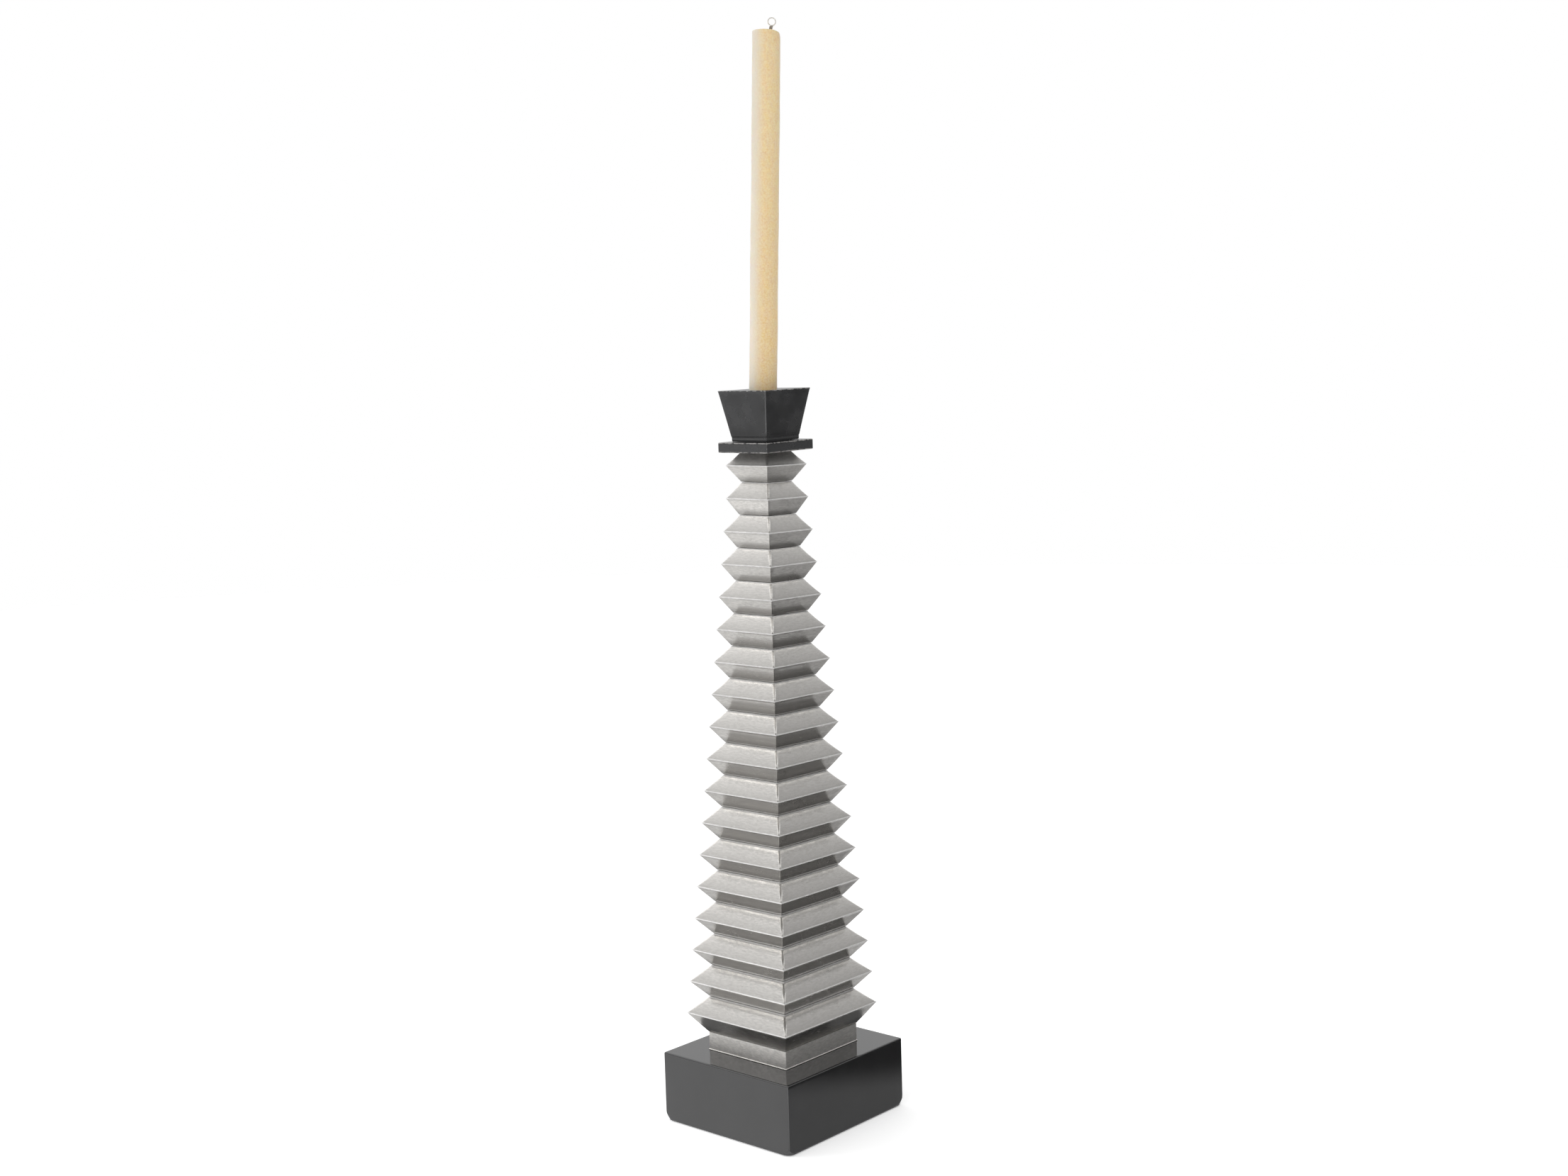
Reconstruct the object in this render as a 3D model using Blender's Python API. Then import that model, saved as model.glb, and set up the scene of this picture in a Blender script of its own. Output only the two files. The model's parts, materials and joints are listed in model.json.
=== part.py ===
"""A tall square candlestick: a black block base, a silver column of stacked tiers, a drip plate, a cup and
a candle, all clamped on one threaded rod.

The origin is the middle of the underside, +Z is up, and lengths are in metres. The candle leans a little in
its socket, towards LEAN_HEADING.
"""

import math

import bmesh
import bpy
from mathutils import Matrix, Vector

# Driving dimensions
GAP = 0.0003
EDGE = 0.0008

BASE_SIDE = 0.137
BASE_BOTTOM = 0.0006
BASE_TOP = 0.057
BASE_WALL = 0.004
BASE_ROOF = 0.005
BOSS_SIDE = 0.014

FELT_THICKNESS = 0.002
FELT_SIDE = 0.118
FELT_CORNER = 0.022
COVER_THICKNESS = 0.002
COVER_SIDE = 0.131

BALLAST_SIDE = 0.100
BALLAST_THICKNESS = 0.024

COLLAR_SIDE = 0.085
COLLAR_HEIGHT = 0.0145

TIER_COUNT = 18
TIER_PITCH = 0.026
LAST_RIDGE_Z = 0.0888
LAST_RIDGE_SIDE = 0.109
RIDGE_STEP = 0.003918
TOP_RIDGE_EXTRA = 0.003
VALLEY_LAST = 0.0864
VALLEY_STEP = 0.00341
TIER_WALL = 0.0024
TIER_FLOOR = 0.003
SPIGOT_DEPTH = 0.0024

PLATE_SIDE = 0.053
PLATE_BOTTOM = 0.5417
PLATE_THICKNESS = 0.008

CUP_FOOT_SIDE = 0.0377
CUP_FOOT_HEIGHT = 0.0033
CUP_TOP_SIDE = 0.0507
CUP_TOP = 0.5895
CUP_FLOOR = 0.004

LINER_RADIUS = 0.0129
LINER_BORE = 0.0119
LINER_FLOOR = 0.001
CUP_LOWER_BORE = 0.0105
CUP_STEP_Z = 0.5641

ROD_RADIUS = 0.004
ROD_BOTTOM = 0.0150
ROD_TOP = 0.5632
NUT_FLATS = 0.013
NUT_HEIGHT = 0.006
LOWER_WASHER = (0.015, 0.002)
UPPER_WASHER = (0.009, 0.0013)

SCREW_OFFSET = 0.0575
SCREW_RADIUS = 0.0017
SCREW_LENGTH = 0.0115
SCREW_HEAD = (0.00325, 0.0016)

CANDLE_RADIUS = 0.011
CANDLE_LENGTH = 0.300
CANDLE_SHOULDER = 0.0022
CANDLE_CROWN = 0.0008
LEAN = math.radians(2.2)
LEAN_HEADING = math.radians(45)
WICK_RADIUS = 0.0006
WICK_OFFSET = 0.0027
LOOP_RADIUS = 0.00295
LOOP_STRAND = 0.00055
LOOP_CENTRE = (0.0041, 0.0066)

ROUND_SIDES = 32
SMALL_SIDES = 20


def finish(name, colour, roughness, metallic):
    """A plain material for one piece."""
    material = bpy.data.materials.new(name)
    material.use_nodes = True
    shader = material.node_tree.nodes["Principled BSDF"]
    shader.inputs["Base Color"].default_value = (*colour, 1.0)
    shader.inputs["Roughness"].default_value = roughness
    shader.inputs["Metallic"].default_value = metallic
    material.diffuse_color = (*colour, 1.0)
    return material


def silver(name):
    return finish(name, (0.62, 0.60, 0.57), 0.30, 1.0)


def black(name):
    return finish(name, (0.035, 0.035, 0.036), 0.30, 0.0)


def steel(name):
    return finish(name, (0.55, 0.55, 0.56), 0.35, 1.0)


def add_piece(name, shape, material, location=(0, 0, 0)):
    """Turn a bmesh into a named object with its material."""
    bmesh.ops.recalc_face_normals(shape, faces=shape.faces)
    mesh = bpy.data.meshes.new(name)
    shape.to_mesh(mesh)
    shape.free()
    mesh.materials.append(material)
    piece = bpy.data.objects.new(name, mesh)
    piece.location = location
    bpy.context.scene.collection.objects.link(piece)
    return piece


def square(shape, side, z):
    """Four corner vertices of a square ring at height z."""
    half = side / 2
    return [shape.verts.new((x, y, z)) for x, y in ((-half, -half), (half, -half), (half, half), (-half, half))]


def loft(rings):
    """A closed solid skinned over square rings of (side, z), capped at the first and last."""
    shape = bmesh.new()
    loops = [square(shape, side, z) for side, z in rings]
    for lower, upper in zip(loops, loops[1:]):
        for i in range(4):
            j = (i + 1) % 4
            shape.faces.new((lower[i], lower[j], upper[j], upper[i]))
    shape.faces.new(loops[0])
    shape.faces.new(loops[-1])
    return shape


def extrude_outline(outline, bottom, top):
    """A prism over a closed outline of (x, y) points."""
    shape = bmesh.new()
    lower = [shape.verts.new((x, y, bottom)) for x, y in outline]
    upper = [shape.verts.new((x, y, top)) for x, y in outline]
    for i in range(len(outline)):
        j = (i + 1) % len(outline)
        shape.faces.new((lower[i], lower[j], upper[j], upper[i]))
    shape.faces.new(lower)
    shape.faces.new(upper)
    return shape


def turn(profile, sides=ROUND_SIDES):
    """A solid turned about Z from a profile of (radius, z); a radius of 0 closes it on the axis."""
    shape = bmesh.new()
    line = [shape.verts.new((radius, 0, z)) for radius, z in profile]
    edges = [shape.edges.new(pair) for pair in zip(line, line[1:])]
    if profile[0][0] > 0:
        edges.append(shape.edges.new((line[-1], line[0])))
    bmesh.ops.spin(shape, geom=line + edges, axis=(0, 0, 1), cent=(0, 0, 0), angle=math.tau, steps=sides,
                   use_merge=True)
    bmesh.ops.remove_doubles(shape, verts=shape.verts, dist=1e-6)
    return shape


def ring(outer, inner, bottom, top, sides=ROUND_SIDES):
    """A washer or sleeve."""
    return turn([(inner, bottom), (outer, bottom), (outer, top), (inner, top)], sides)


def cutter(name, shape):
    """A hidden object that only cuts."""
    mesh = bpy.data.meshes.new(name)
    bmesh.ops.recalc_face_normals(shape, faces=shape.faces)
    shape.to_mesh(mesh)
    shape.free()
    tool = bpy.data.objects.new(name, mesh)
    tool.display_type = "WIRE"
    tool.hide_render = True
    bpy.context.scene.collection.objects.link(tool)
    return tool


def combine(piece, tool, operation="DIFFERENCE"):
    boolean = piece.modifiers.new(tool.name, "BOOLEAN")
    boolean.operation = operation
    boolean.solver = "EXACT"
    boolean.object = tool


def bevel_edges(piece, width):
    bevel = piece.modifiers.new("edge", "BEVEL")
    bevel.width = width
    bevel.segments = 1
    bevel.limit_method = "ANGLE"
    bevel.angle_limit = math.radians(40)


def rod_hole(name, bottom, top):
    """The cutter for the hole that the tie rod passes through."""
    return cutter(name, turn([(0, bottom), (ROD_RADIUS + GAP, bottom), (ROD_RADIUS + GAP, top), (0, top)],
                             SMALL_SIDES))


def cavity_outline():
    """The hollow of the base: a square with a boss left in each corner."""
    wide = BASE_SIDE / 2 - BASE_WALL
    notch = wide - BOSS_SIDE
    outline = []
    for sx, sy in ((1, 1), (-1, 1), (-1, -1), (1, -1)):
        corner = [(sx * wide, sy * notch), (sx * notch, sy * notch), (sx * notch, sy * wide)]
        outline += corner if sx * sy > 0 else corner[::-1]
    return outline


def build_base():
    rebate_top = FELT_THICKNESS + GAP + COVER_THICKNESS + GAP
    block = loft([(BASE_SIDE, BASE_BOTTOM), (BASE_SIDE, BASE_TOP)])
    base = add_piece("base_block", block, black("base_black"))
    bevel_edges(base, EDGE)
    combine(base, cutter("rebate_cut", loft([(COVER_SIDE + 2 * GAP, -0.01), (COVER_SIDE + 2 * GAP, rebate_top)])))
    combine(base, cutter("hollow_cut", extrude_outline(cavity_outline(), 0.001, BASE_TOP - BASE_ROOF)))
    combine(base, rod_hole("base_rod_cut", BASE_TOP - 0.02, BASE_TOP + 0.01))
    for index, (sx, sy) in enumerate(((1, 1), (-1, 1), (-1, -1), (1, -1))):
        hole = turn([(0, 0.001), (SCREW_RADIUS + GAP, 0.001), (SCREW_RADIUS + GAP, 0.016), (0, 0.016)], SMALL_SIDES)
        tool = cutter(f"boss_cut_{index + 1}", hole)
        tool.location = (sx * SCREW_OFFSET, sy * SCREW_OFFSET, 0)
        combine(base, tool)


def build_underside():
    half = FELT_SIDE / 2
    cut = half - FELT_CORNER
    felt = [(half, -cut), (half, cut), (cut, half), (-cut, half), (-half, cut), (-half, -cut), (-cut, -half),
            (cut, -half)]
    add_piece("felt_pad", extrude_outline(felt, 0, FELT_THICKNESS), finish("felt", (0.03, 0.03, 0.032), 0.95, 0))

    bottom = FELT_THICKNESS + GAP
    top = bottom + COVER_THICKNESS
    cover = add_piece("base_cover", loft([(COVER_SIDE, bottom), (COVER_SIDE, top)]),
                      finish("cover_black", (0.05, 0.05, 0.05), 0.5, 0.6))
    head_radius, head_height = SCREW_HEAD
    seat = [(0, bottom - 0.001), (head_radius + 1.6 * GAP, bottom - 0.001), (head_radius + 1.6 * GAP, bottom),
            (SCREW_RADIUS + GAP, bottom + head_height + GAP), (SCREW_RADIUS + GAP, top + 0.001), (0, top + 0.001)]
    for index, (sx, sy) in enumerate(((1, 1), (-1, 1), (-1, -1), (1, -1))):
        place = Vector((sx * SCREW_OFFSET, sy * SCREW_OFFSET, 0))
        tool = cutter(f"seat_cut_{index + 1}", turn(seat, SMALL_SIDES))
        tool.location = place
        combine(cover, tool)
        screw = turn([(0, bottom), (head_radius, bottom), (SCREW_RADIUS, bottom + head_height),
                      (SCREW_RADIUS, bottom + SCREW_LENGTH), (0, bottom + SCREW_LENGTH)], SMALL_SIDES)
        add_piece(f"cover_screw_{index + 1}", screw, steel(f"screw_steel_{index + 1}"), place)


def hexagon(across_flats, bottom, top):
    radius = across_flats / math.sqrt(3)
    outline = [(radius * math.cos(math.tau * k / 6), radius * math.sin(math.tau * k / 6)) for k in range(6)]
    return extrude_outline(outline, bottom, top)


def build_clamp():
    """The ballast, the rod and its nuts and washers."""
    ballast_top = BASE_TOP - BASE_ROOF - GAP
    ballast_bottom = ballast_top - BALLAST_THICKNESS
    ballast = add_piece("ballast", loft([(BALLAST_SIDE, ballast_bottom), (BALLAST_SIDE, ballast_top)]),
                        finish("cast_iron", (0.12, 0.11, 0.10), 0.8, 0.6))
    combine(ballast, rod_hole("ballast_rod_cut", ballast_bottom - 0.01, ballast_top + 0.01))

    outer, thickness = LOWER_WASHER
    washer_bottom = ballast_bottom - GAP - thickness
    bore = ROD_RADIUS + GAP
    add_piece("lower_washer", ring(outer, bore, washer_bottom, washer_bottom + thickness, SMALL_SIDES),
              steel("lower_washer_steel"))
    nut_top = washer_bottom - GAP
    nut = add_piece("lower_nut", hexagon(NUT_FLATS, nut_top - NUT_HEIGHT, nut_top), steel("lower_nut_steel"))
    combine(nut, rod_hole("lower_nut_cut", nut_top - 0.02, nut_top + 0.02))

    outer, thickness = UPPER_WASHER
    washer_bottom = PLATE_BOTTOM + PLATE_THICKNESS + GAP + CUP_FLOOR + GAP
    add_piece("upper_washer", ring(outer, bore, washer_bottom, washer_bottom + thickness, SMALL_SIDES),
              steel("upper_washer_steel"))
    nut_bottom = washer_bottom + thickness + GAP
    nut = add_piece("upper_nut", hexagon(NUT_FLATS, nut_bottom, nut_bottom + NUT_HEIGHT), steel("upper_nut_steel"))
    combine(nut, rod_hole("upper_nut_cut", nut_bottom - 0.02, nut_bottom + 0.02))

    chamfer = 0.0008
    add_piece("tie_rod", turn([(0, ROD_BOTTOM), (ROD_RADIUS - chamfer, ROD_BOTTOM), (ROD_RADIUS, ROD_BOTTOM + chamfer),
                               (ROD_RADIUS, ROD_TOP - chamfer), (ROD_RADIUS - chamfer, ROD_TOP), (0, ROD_TOP)],
                              SMALL_SIDES), steel("rod_steel"))


def build_collar():
    bottom = BASE_TOP + GAP
    top = bottom + COLLAR_HEIGHT
    inner = COLLAR_SIDE - 2 * TIER_WALL
    shell = loft([(COLLAR_SIDE, bottom), (COLLAR_SIDE, top), (inner, top), (inner, bottom + TIER_FLOOR)])
    collar = add_piece("foot_collar", shell, silver("collar_silver"))
    combine(collar, rod_hole("collar_rod_cut", bottom - 0.01, bottom + 0.01))
    return top


def build_tier(number, bottom, below_mouth, sides, heights):
    """One hollow tier: a spigot, a floor, a lower slope out to the ridge and an upper slope back in."""
    lower, ridge, upper = sides
    ridge_z, top = heights
    spigot = below_mouth - 2 * GAP
    mouth = upper - 2 * TIER_WALL
    floor_z = bottom + TIER_FLOOR
    share = (floor_z - bottom) / (ridge_z - bottom)
    floor_side = lower + (ridge - lower) * share - 2.6 * TIER_WALL
    rings = [(spigot, bottom - SPIGOT_DEPTH), (spigot, bottom), (lower, bottom), (ridge, ridge_z), (upper, top),
             (mouth, top), (ridge - 2.6 * TIER_WALL, ridge_z), (floor_side, floor_z)]
    tier = add_piece(f"tier_{number:02d}", loft(rings), silver(f"tier_{number:02d}_silver"))
    combine(tier, rod_hole(f"tier_{number:02d}_cut", bottom - 0.01, bottom + 0.01))
    return mouth


def build_column(collar_top):
    mouth = COLLAR_SIDE - 2 * TIER_WALL
    bottom = collar_top + GAP
    lower = COLLAR_SIDE
    for number in range(TIER_COUNT, 0, -1):
        rank = TIER_COUNT - number
        ridge_z = LAST_RIDGE_Z + rank * TIER_PITCH
        ridge = LAST_RIDGE_SIDE - rank * RIDGE_STEP + (TOP_RIDGE_EXTRA if number == 1 else 0)
        upper = VALLEY_LAST - (rank + 1) * VALLEY_STEP
        top = ridge_z + TIER_PITCH / 2 - GAP
        if number == 1:
            cut_top = PLATE_BOTTOM - GAP
            upper = ridge + (upper - ridge) * (cut_top - ridge_z) / (top - ridge_z)
            top = cut_top
        mouth = build_tier(number, bottom, mouth, (lower, ridge, upper), (ridge_z, top))
        lower = upper
        bottom = top + GAP
    return mouth


def build_plate(mouth):
    top = PLATE_BOTTOM + PLATE_THICKNESS
    spigot = mouth - 2 * GAP
    rings = [(spigot, PLATE_BOTTOM - SPIGOT_DEPTH), (spigot, PLATE_BOTTOM), (PLATE_SIDE, PLATE_BOTTOM),
             (PLATE_SIDE, top)]
    plate = add_piece("drip_plate", loft(rings), black("plate_black"))
    combine(plate, rod_hole("plate_rod_cut", PLATE_BOTTOM - 0.02, top + 0.02))


def build_cup():
    bottom = PLATE_BOTTOM + PLATE_THICKNESS + GAP
    rings = [(CUP_FOOT_SIDE, bottom), (CUP_FOOT_SIDE, bottom + CUP_FOOT_HEIGHT), (CUP_TOP_SIDE, CUP_TOP)]
    cup = add_piece("candle_cup", loft(rings), black("cup_black"))
    floor_z = bottom + CUP_FLOOR
    bore = turn([(0, bottom - 0.01), (ROD_RADIUS + GAP, bottom - 0.01), (ROD_RADIUS + GAP, floor_z),
                 (CUP_LOWER_BORE, floor_z), (CUP_LOWER_BORE, CUP_STEP_Z), (LINER_RADIUS + GAP, CUP_STEP_Z),
                 (LINER_RADIUS + GAP, CUP_TOP + 0.01), (0, CUP_TOP + 0.01)])
    combine(cup, cutter("cup_bore_cut", bore))

    liner_bottom = CUP_STEP_Z + GAP
    add_piece("socket_liner", turn([(0, liner_bottom), (LINER_RADIUS, liner_bottom), (LINER_RADIUS, CUP_TOP),
                                    (LINER_BORE, CUP_TOP), (LINER_BORE, liner_bottom + LINER_FLOOR),
                                    (0, liner_bottom + LINER_FLOOR)]), steel("liner_steel"))
    return liner_bottom + LINER_FLOOR


def candle_profile():
    """The outer line of the candle from the wick hole at the foot to the wick hole at the crown."""
    hole = WICK_RADIUS + GAP
    crown_z = CANDLE_LENGTH
    shoulder_z = crown_z - CANDLE_CROWN - CANDLE_SHOULDER
    profile = [(hole, 0), (CANDLE_RADIUS, 0)]
    for step in range(5):
        angle = math.radians(90 * step / 4)
        profile.append((CANDLE_RADIUS - CANDLE_SHOULDER * (1 - math.cos(angle)),
                        shoulder_z + CANDLE_SHOULDER * math.sin(angle)))
    profile.append((hole, crown_z))
    return profile


def build_candle(socket_floor):
    """The candle and its wick, leaning in the socket about the middle of the candle's foot."""
    drop = CANDLE_RADIUS * math.sin(LEAN)
    held = CUP_TOP - socket_floor
    shift = held * math.tan(LEAN) / 2
    axis = Vector((math.cos(LEAN_HEADING), math.sin(LEAN_HEADING), 0))
    foot = Vector((0, 0, socket_floor + GAP + drop)) - shift * axis
    stand = bpy.data.objects.new("candle_frame", None)
    bpy.context.scene.collection.objects.link(stand)
    stand.matrix_world = (Matrix.Translation(foot) @ Matrix.Rotation(LEAN_HEADING, 4, "Z")
                          @ Matrix.Rotation(LEAN, 4, "Y"))

    profile = candle_profile()
    candle = add_piece("candle", turn([(0, 0)] + profile[1:-1] + [(0, CANDLE_LENGTH)]),
                       finish("beeswax", (0.80, 0.60, 0.34), 0.45, 0.0))
    hole = WICK_RADIUS + GAP
    wick_cut = turn([(0, -0.01), (hole, -0.01), (hole, CANDLE_LENGTH + 0.01), (0, CANDLE_LENGTH + 0.01)], 12)
    bmesh.ops.translate(wick_cut, verts=wick_cut.verts, vec=(WICK_OFFSET, 0, 0))
    bore = cutter("wick_hole_cut", wick_cut)
    combine(candle, bore)

    loop_x, loop_rise = LOOP_CENTRE
    route = [(WICK_OFFSET, 0.0005), (WICK_OFFSET, CANDLE_LENGTH + 0.0006),
             (WICK_OFFSET + 0.0004, CANDLE_LENGTH + 0.0018),
             (loop_x - 0.0002, CANDLE_LENGTH + loop_rise - LOOP_RADIUS)]
    curve = bpy.data.curves.new("wick", "CURVE")
    curve.dimensions = "3D"
    curve.bevel_depth = WICK_RADIUS
    curve.bevel_resolution = 2
    curve.use_fill_caps = True
    line = curve.splines.new("POLY")
    line.points.add(len(route) - 1)
    for point, (x, z) in zip(line.points, route):
        point.co = (x, 0, z, 1)
    stem = bpy.data.objects.new("wick_stem", curve)
    bpy.context.scene.collection.objects.link(stem)
    evaluated = stem.evaluated_get(bpy.context.evaluated_depsgraph_get())
    shape = bmesh.new()
    shape.from_mesh(evaluated.to_mesh())
    bmesh.ops.remove_doubles(shape, verts=shape.verts, dist=1e-6)
    bpy.data.objects.remove(stem)
    wick = add_piece("wick", shape, finish("cotton", (0.75, 0.72, 0.66), 0.9, 0.0))

    loop = bmesh.new()
    upright = Matrix.Translation((LOOP_RADIUS, 0, 0)) @ Matrix.Rotation(math.pi / 2, 4, "X")
    bmesh.ops.create_circle(loop, cap_ends=False, segments=10, radius=LOOP_STRAND, matrix=upright)
    bmesh.ops.spin(loop, geom=loop.verts[:] + loop.edges[:], axis=(0, 0, 1), cent=(0, 0, 0), angle=math.tau,
                   steps=28, use_merge=True)
    bmesh.ops.remove_doubles(loop, verts=loop.verts, dist=1e-6)
    bmesh.ops.rotate(loop, verts=loop.verts, matrix=Matrix.Rotation(math.pi / 2, 3, "X"))
    bmesh.ops.translate(loop, verts=loop.verts, vec=(loop_x, 0, CANDLE_LENGTH + loop_rise))
    eye = cutter("loop_join", loop)
    combine(wick, eye, "UNION")
    for part in (candle, bore, wick, eye):
        part.parent = stand


def main():
    for old in list(bpy.data.objects):
        bpy.data.objects.remove(old, do_unlink=True)
    build_base()
    build_underside()
    build_clamp()
    mouth = build_column(build_collar())
    build_plate(mouth)
    build_candle(build_cup())


main()
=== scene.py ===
"""The looks of the tiered candlestick: detailed pieces, finishes and a small studio round the frame."""

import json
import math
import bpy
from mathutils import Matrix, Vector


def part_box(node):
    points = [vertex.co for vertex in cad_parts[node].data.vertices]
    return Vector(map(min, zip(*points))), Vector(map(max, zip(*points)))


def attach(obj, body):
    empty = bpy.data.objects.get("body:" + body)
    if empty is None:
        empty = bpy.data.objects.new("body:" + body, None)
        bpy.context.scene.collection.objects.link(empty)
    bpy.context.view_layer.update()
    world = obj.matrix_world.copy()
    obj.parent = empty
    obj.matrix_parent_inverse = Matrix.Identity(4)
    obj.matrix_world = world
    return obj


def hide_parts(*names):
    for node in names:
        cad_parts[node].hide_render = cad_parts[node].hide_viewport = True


bl_info = {
    "name": "Tiered Candlestick",
    "version": (1, 0, 0),
    "blender": (4, 5, 0),
    "location": "View3D > Sidebar > Candlestick",
    "description": "Detailed pieces and finishes for a tiered silver candlestick on a black block base",
    "category": "Object",
}

from collections import namedtuple

import bmesh
import bpy
from bpy.props import FloatProperty, FloatVectorProperty, IntProperty, PointerProperty
from bpy.types import Operator, Panel, PropertyGroup
from mathutils import Matrix, Vector, noise

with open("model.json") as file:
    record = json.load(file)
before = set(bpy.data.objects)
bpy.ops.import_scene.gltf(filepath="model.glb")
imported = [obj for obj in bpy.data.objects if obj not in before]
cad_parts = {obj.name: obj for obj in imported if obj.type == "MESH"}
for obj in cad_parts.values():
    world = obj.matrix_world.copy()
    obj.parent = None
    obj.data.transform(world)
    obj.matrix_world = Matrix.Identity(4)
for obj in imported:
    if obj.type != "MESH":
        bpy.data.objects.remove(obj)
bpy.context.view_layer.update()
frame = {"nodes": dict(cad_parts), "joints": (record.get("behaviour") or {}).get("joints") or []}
NODES = frame["nodes"]

TIER_NAMES = sorted(name for name in NODES if name.startswith("tier_"))
SCREW_NAMES = sorted(name for name in NODES if name.startswith("cover_screw_"))
STEEL_NAMES = SCREW_NAMES + ["tie_rod", "lower_nut", "lower_washer", "upper_nut", "upper_washer"]

# Steps round a corner, along a side and up a slope, and the roundness of a strand.
CORNER_STEPS = 8
SIDE_STEPS = 12
FACET_STEPS = 8
STRAND_STEPS = 3
SMOOTH_ANGLE = math.radians(32)
MERGE = 1e-6

# Gap between clamped pieces, depth of the lacquer's waves, and the middle of a hand-set piece that stays true:
# its half width, and how far out from there the tilt comes in.
CLEARANCE = 0.0003
UNEVEN_LACQUER = 0.00005
TRUE_MIDDLE = 0.014
TRUE_EASE = 0.004
SURFACE_SEED = 7

SENSOR_WIDTH = 36.0
CARD_TONE = 0.003
# The room's light behind the object, and by height from straight down, 0, to straight up, 1, on each side.
BACKDROP = 0.85
ROOM_LEFT = ((0.0, 0.80), (0.484, 0.66), (0.50, 0.22), (0.67, 0.17), (0.71, 1.80), (0.765, 1.70), (0.80, 0.90),
             (0.83, 0.75), (0.90, 0.90), (1.0, 1.35))
ROOM_RIGHT = ((0.0, 0.45), (0.484, 0.32), (0.499, 0.06), (0.67, 0.035), (0.71, 1.12), (0.75, 1.04),
              (0.80, 0.47), (0.84, 0.41), (0.90, 0.62), (1.0, 1.25))

Section = namedtuple("Section", "side corner z across edge", defaults=(0.0, 0.0))


# ---------------------------------------------------------------- settings


class StudioSettings(PropertyGroup):
    """Camera, floor and light."""

    camera_distance: FloatProperty(name="Camera Distance", description="From the column's axis, on the floor",
                                   default=1.574, unit="LENGTH")
    camera_bearing: FloatProperty(name="Camera Bearing", description="Round the object, from its front",
                                  default=math.radians(43.75), subtype="ANGLE")
    camera_height: FloatProperty(name="Camera Height", description="Above the floor", default=0.603,
                                 unit="LENGTH")
    camera_yaw: FloatProperty(name="Camera Yaw", description="Turn away from the axis, seen from above",
                              default=math.radians(-5.87), subtype="ANGLE")
    camera_pitch: FloatProperty(name="Camera Pitch", description="Tilt down", default=math.radians(6.32),
                                subtype="ANGLE")
    camera_roll: FloatProperty(name="Camera Roll", description="Turn about the line of sight",
                               default=math.radians(-1.06), subtype="ANGLE")
    focal_length: FloatProperty(name="Focal Length", description="Of a 36 mm wide sensor", default=45.42,
                                unit="CAMERA")
    lens_shift: FloatProperty(name="Lens Shift", description="Sideways, as a share of the sensor's width",
                              default=-0.12)
    floor_size: FloatProperty(name="Floor Size", description="Width of the floor", default=9.0, unit="LENGTH")
    floor_colour: FloatVectorProperty(name="Floor Colour", description="Pale paper", default=(0.93, 0.93, 0.93),
                                      size=3, subtype="COLOR")
    floor_lift: FloatProperty(name="Floor Lift", description="How far the floor is lit up towards white",
                              default=0.34)
    key_power: FloatProperty(name="Key Power", description="Of the softbox on the left", default=5.6,
                             unit="POWER")
    fill_power: FloatProperty(name="Fill Power", description="Of the softbox in front of the candle",
                              default=1.9, unit="POWER")
    room_light: FloatProperty(name="Room Light", description="Strength of the room's own light", default=1.0)


class ColumnSettings(PropertyGroup):
    """The silver tiers and the band below them."""

    ridge_land: FloatProperty(name="Ridge Land", description="Height of the rubbed flat along each ridge",
                              default=0.0004, unit="LENGTH", precision=5)
    ridge_rounding: FloatProperty(name="Ridge Rounding", description="How far the softening beside it reaches",
                                  default=0.00030, unit="LENGTH", precision=5)
    hip_rounding: FloatProperty(name="Hip Rounding", description="Corner radius halfway up an upper slope",
                                default=0.0023, unit="LENGTH", precision=5)
    crisp_corner: FloatProperty(name="Crisp Corner", description="Corner radius of the lower slopes",
                                default=0.0004, unit="LENGTH", precision=5)
    seam: FloatProperty(name="Seam", description="Chamfer where two tiers meet", default=0.00014, unit="LENGTH",
                        precision=5)
    cushion: FloatProperty(name="Cushion", description="Bulge of an upper slope", default=0.00002,
                           unit="LENGTH", precision=5)
    foot_flare: FloatProperty(name="Foot Flare", description="Fillet where the band meets the base",
                              default=0.0005, unit="LENGTH", precision=5)
    unevenness: FloatProperty(name="Unevenness", description="Of the hand-polished surfaces", default=0.00005,
                              unit="LENGTH", precision=5)


class BlackSettings(PropertyGroup):
    """The lacquered base, drip plate and cup."""

    base_rounding: FloatProperty(name="Base Rounding", description="Of the base block's edges", default=0.0011,
                                 unit="LENGTH", precision=5)
    head_tilt: FloatProperty(name="Head Tilt", description="Slope of the hand-set plate and cup", default=0.030)
    cup_lift: FloatProperty(name="Cup Lift", description="Rise of the cup's rim towards its corners",
                            default=0.0006, unit="LENGTH", precision=5)
    cup_spread: FloatProperty(name="Cup Spread", description="How much the rim is widened, as a share",
                              default=0.028)
    worn_corner: FloatProperty(name="Worn Corner", description="Radius of the base's corners at the floor",
                               default=0.0065, unit="LENGTH", precision=5)
    plate_rounding: FloatProperty(name="Plate Rounding", description="Of the drip plate's and the cup's edges",
                                  default=0.0007, unit="LENGTH", precision=5)


class CandleSettings(PropertyGroup):
    """The candle and its wick."""

    lumps: FloatProperty(name="Lumps", description="Height of the dipped wax's lumps", default=0.00024,
                         unit="LENGTH", precision=5)
    ring_steps: IntProperty(name="Sides", description="Round the candle", default=72, min=16)
    strand_radius: FloatProperty(name="Strand Radius", description="Of one strand of the wick", default=0.00026,
                                 unit="LENGTH", precision=5)
    braid_pitch: FloatProperty(name="Braid Pitch", description="Length of one turn of the wick's strands",
                               default=0.0030, unit="LENGTH", precision=5)


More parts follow.
